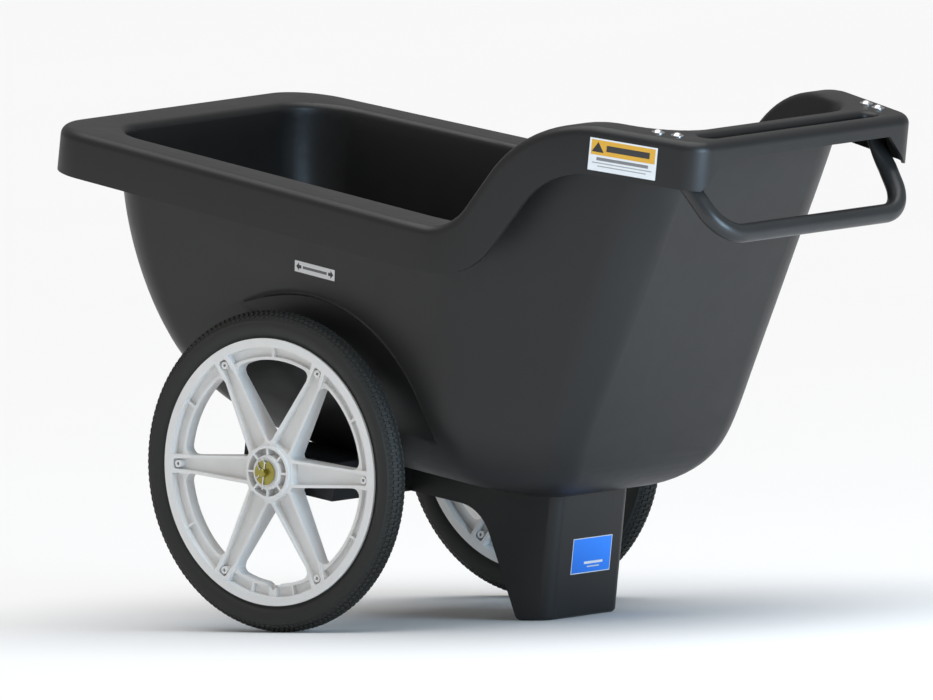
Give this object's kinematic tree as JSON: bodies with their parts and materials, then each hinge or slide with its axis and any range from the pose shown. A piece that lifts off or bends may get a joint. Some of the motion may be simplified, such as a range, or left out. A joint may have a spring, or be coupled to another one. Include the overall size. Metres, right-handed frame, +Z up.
{
  "type": "tow behind cart",
  "caption": "Two-wheeled moulded tub cart with a rolled rim, a grip bar and lower tow handle, spoked wheels on an adjustable axle, and a rear leg to stand on.",
  "frame": {"origin": "middle of the bounding box at ground level, cart standing on its wheels and leg", "axes": "+X towards the handle, +Y to the right-hand wheel as seen from the handle, +Z up"},
  "size_m": [1.3194, 0.782, 0.8061],
  "materials": {
    "cart_plastic": "satin moulded polyethylene, dark charcoal",
    "black_coat": "satin powder coat",
    "bright_steel": "bright zinc",
    "dull_steel": "dull zinc",
    "yellow_zinc": "yellow zinc plate",
    "pin_steel": "bright spring wire",
    "white_plastic": "white moulded nylon, semi gloss",
    "bush_plastic": "plain nylon",
    "tyre": "black rubber, fine tread",
    "tube_rubber": "smooth rubber",
    "valve_rubber": "rubber covered stem",
    "valve_plastic": "black plastic",
    "label_side": "printed film, plain arrows",
    "label_rim": "printed film, plain bands",
    "label_leg": "printed film, plain blue"
  },
  "bodies": {
    "cart": {"axle_label": "label_side", "base": "cart_plastic", "base_bolts": "bright_steel", "base_nuts": "dull_steel", "base_washers": "bright_steel", "handle_bolts": "bright_steel", "handle_nuts": "dull_steel", "handle_washers": "bright_steel", "leg_label": "label_leg", "lower_handle": "black_coat", "rim_label": "label_rim", "tub": "cart_plastic"},
    "axle_set": {"axle": "yellow_zinc", "left_outer_washer": "yellow_zinc", "left_inner_washer": "yellow_zinc", "left_hairpin": "pin_steel", "right_outer_washer": "yellow_zinc", "right_inner_washer": "yellow_zinc", "right_hairpin": "pin_steel"},
    "left_wheel": {"left_rim": "white_plastic", "left_tyre": "tyre", "left_inner_tube": "tube_rubber", "left_valve_stem": "valve_rubber", "left_valve_cap": "valve_plastic", "left_outer_bushing": "bush_plastic", "left_inner_bushing": "bush_plastic"},
    "right_wheel": {"right_rim": "white_plastic", "right_tyre": "tyre", "right_inner_tube": "tube_rubber", "right_valve_stem": "valve_rubber", "right_valve_cap": "valve_plastic", "right_outer_bushing": "bush_plastic", "right_inner_bushing": "bush_plastic"}
  },
  "joints": [
    {"name": "axle_shift", "type": "slide", "parent": "cart", "child": "axle_set", "axis": [0.9833, 0, -0.1819], "range_m": [-0.043, 0.043]},
    {"name": "left_wheel_spin", "type": "hinge", "parent": "axle_set", "child": "left_wheel", "pos_m": [-0.20679, -0.32115, 0.254], "axis": [0, 1, 0], "continuous": true},
    {"name": "right_wheel_spin", "type": "hinge", "parent": "axle_set", "child": "right_wheel", "pos_m": [-0.20679, 0.32115, 0.254], "axis": [0, 1, 0], "continuous": true}
  ]
}
